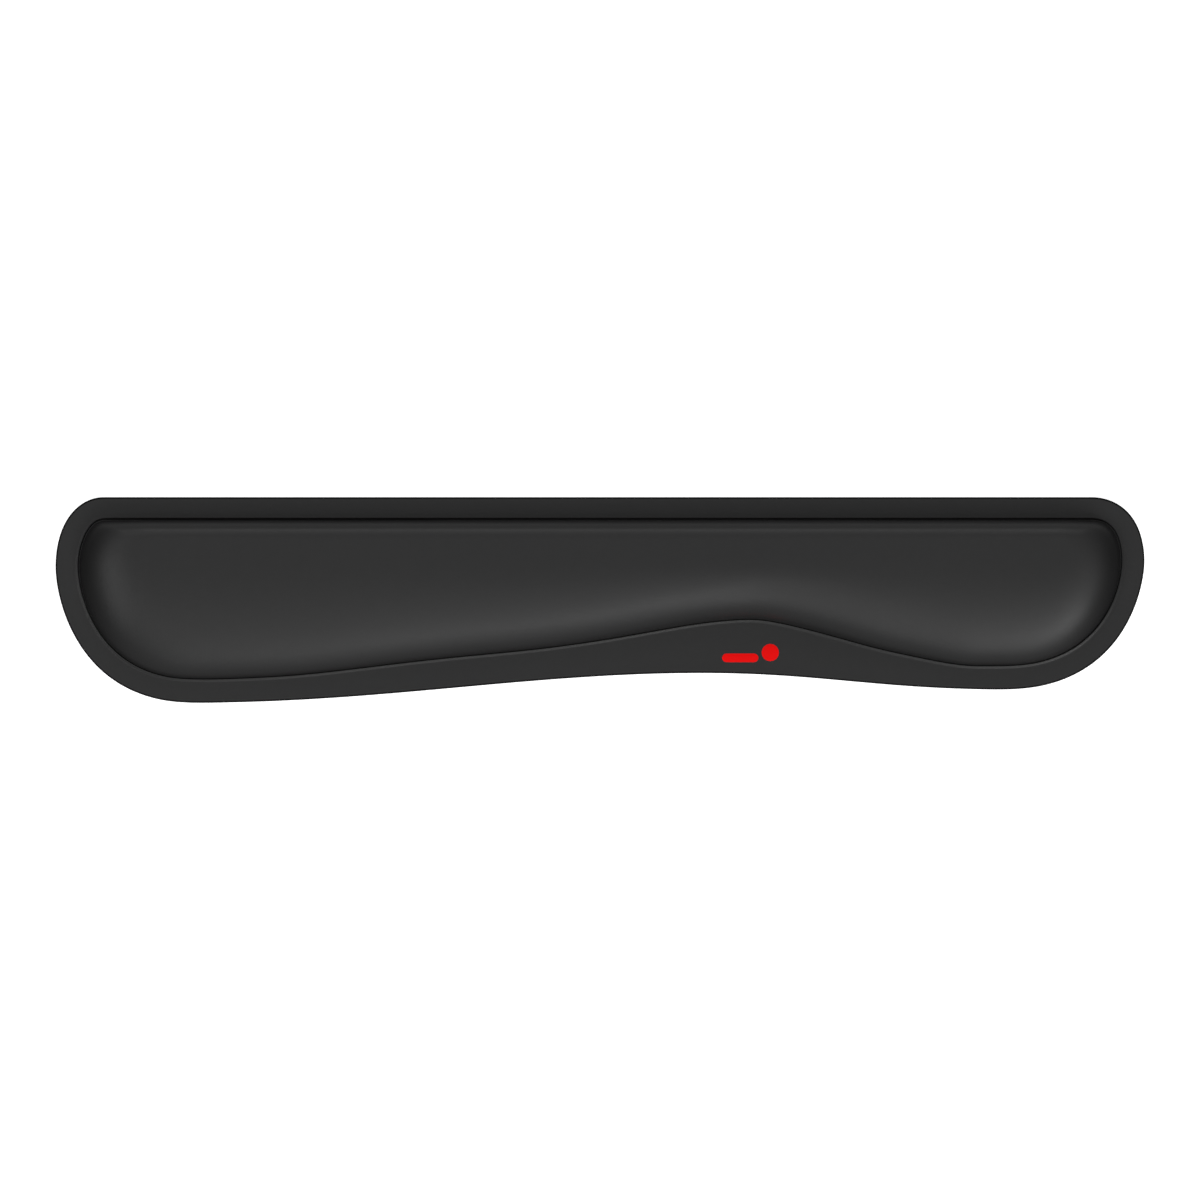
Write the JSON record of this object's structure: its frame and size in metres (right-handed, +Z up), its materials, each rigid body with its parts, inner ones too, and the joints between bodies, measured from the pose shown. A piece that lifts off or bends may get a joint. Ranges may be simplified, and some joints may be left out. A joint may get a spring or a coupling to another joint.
{
  "type": "wrist rest",
  "caption": "Long keyboard wrist rest: a padded crown inside a flat fabric border, wavy front edge with a shallow notch, on an anti-slip base.",
  "frame": {"origin": "middle of the base's underside, on the desk", "axes": "+X along the length, +Y towards the keyboard, -Y towards the user, +Z up"},
  "size_m": [0.45, 0.085, 0.02],
  "materials": {
    "base_rubber": "matt black rubber, with a fine moulded tread underneath",
    "adhesive": "clear double-sided adhesive sheet",
    "border_foam_board": "dense black foam board",
    "memory_foam": "slow-recovery foam, fine open cells",
    "film": "translucent hot-melt film",
    "face_fabric": "charcoal smooth-faced fine knit with a soft satin sheen",
    "red_print": "flat red heat-transfer print"
  },
  "bodies": {
    "root": {"anti_slip_base": "base_rubber", "adhesive_sheet": "adhesive", "border_ply": "border_foam_board", "foam_core": "memory_foam", "bonding_film": "film", "face_cover": "face_fabric", "printed_bar": "red_print", "printed_dot": "red_print"}
  },
  "joints": []
}
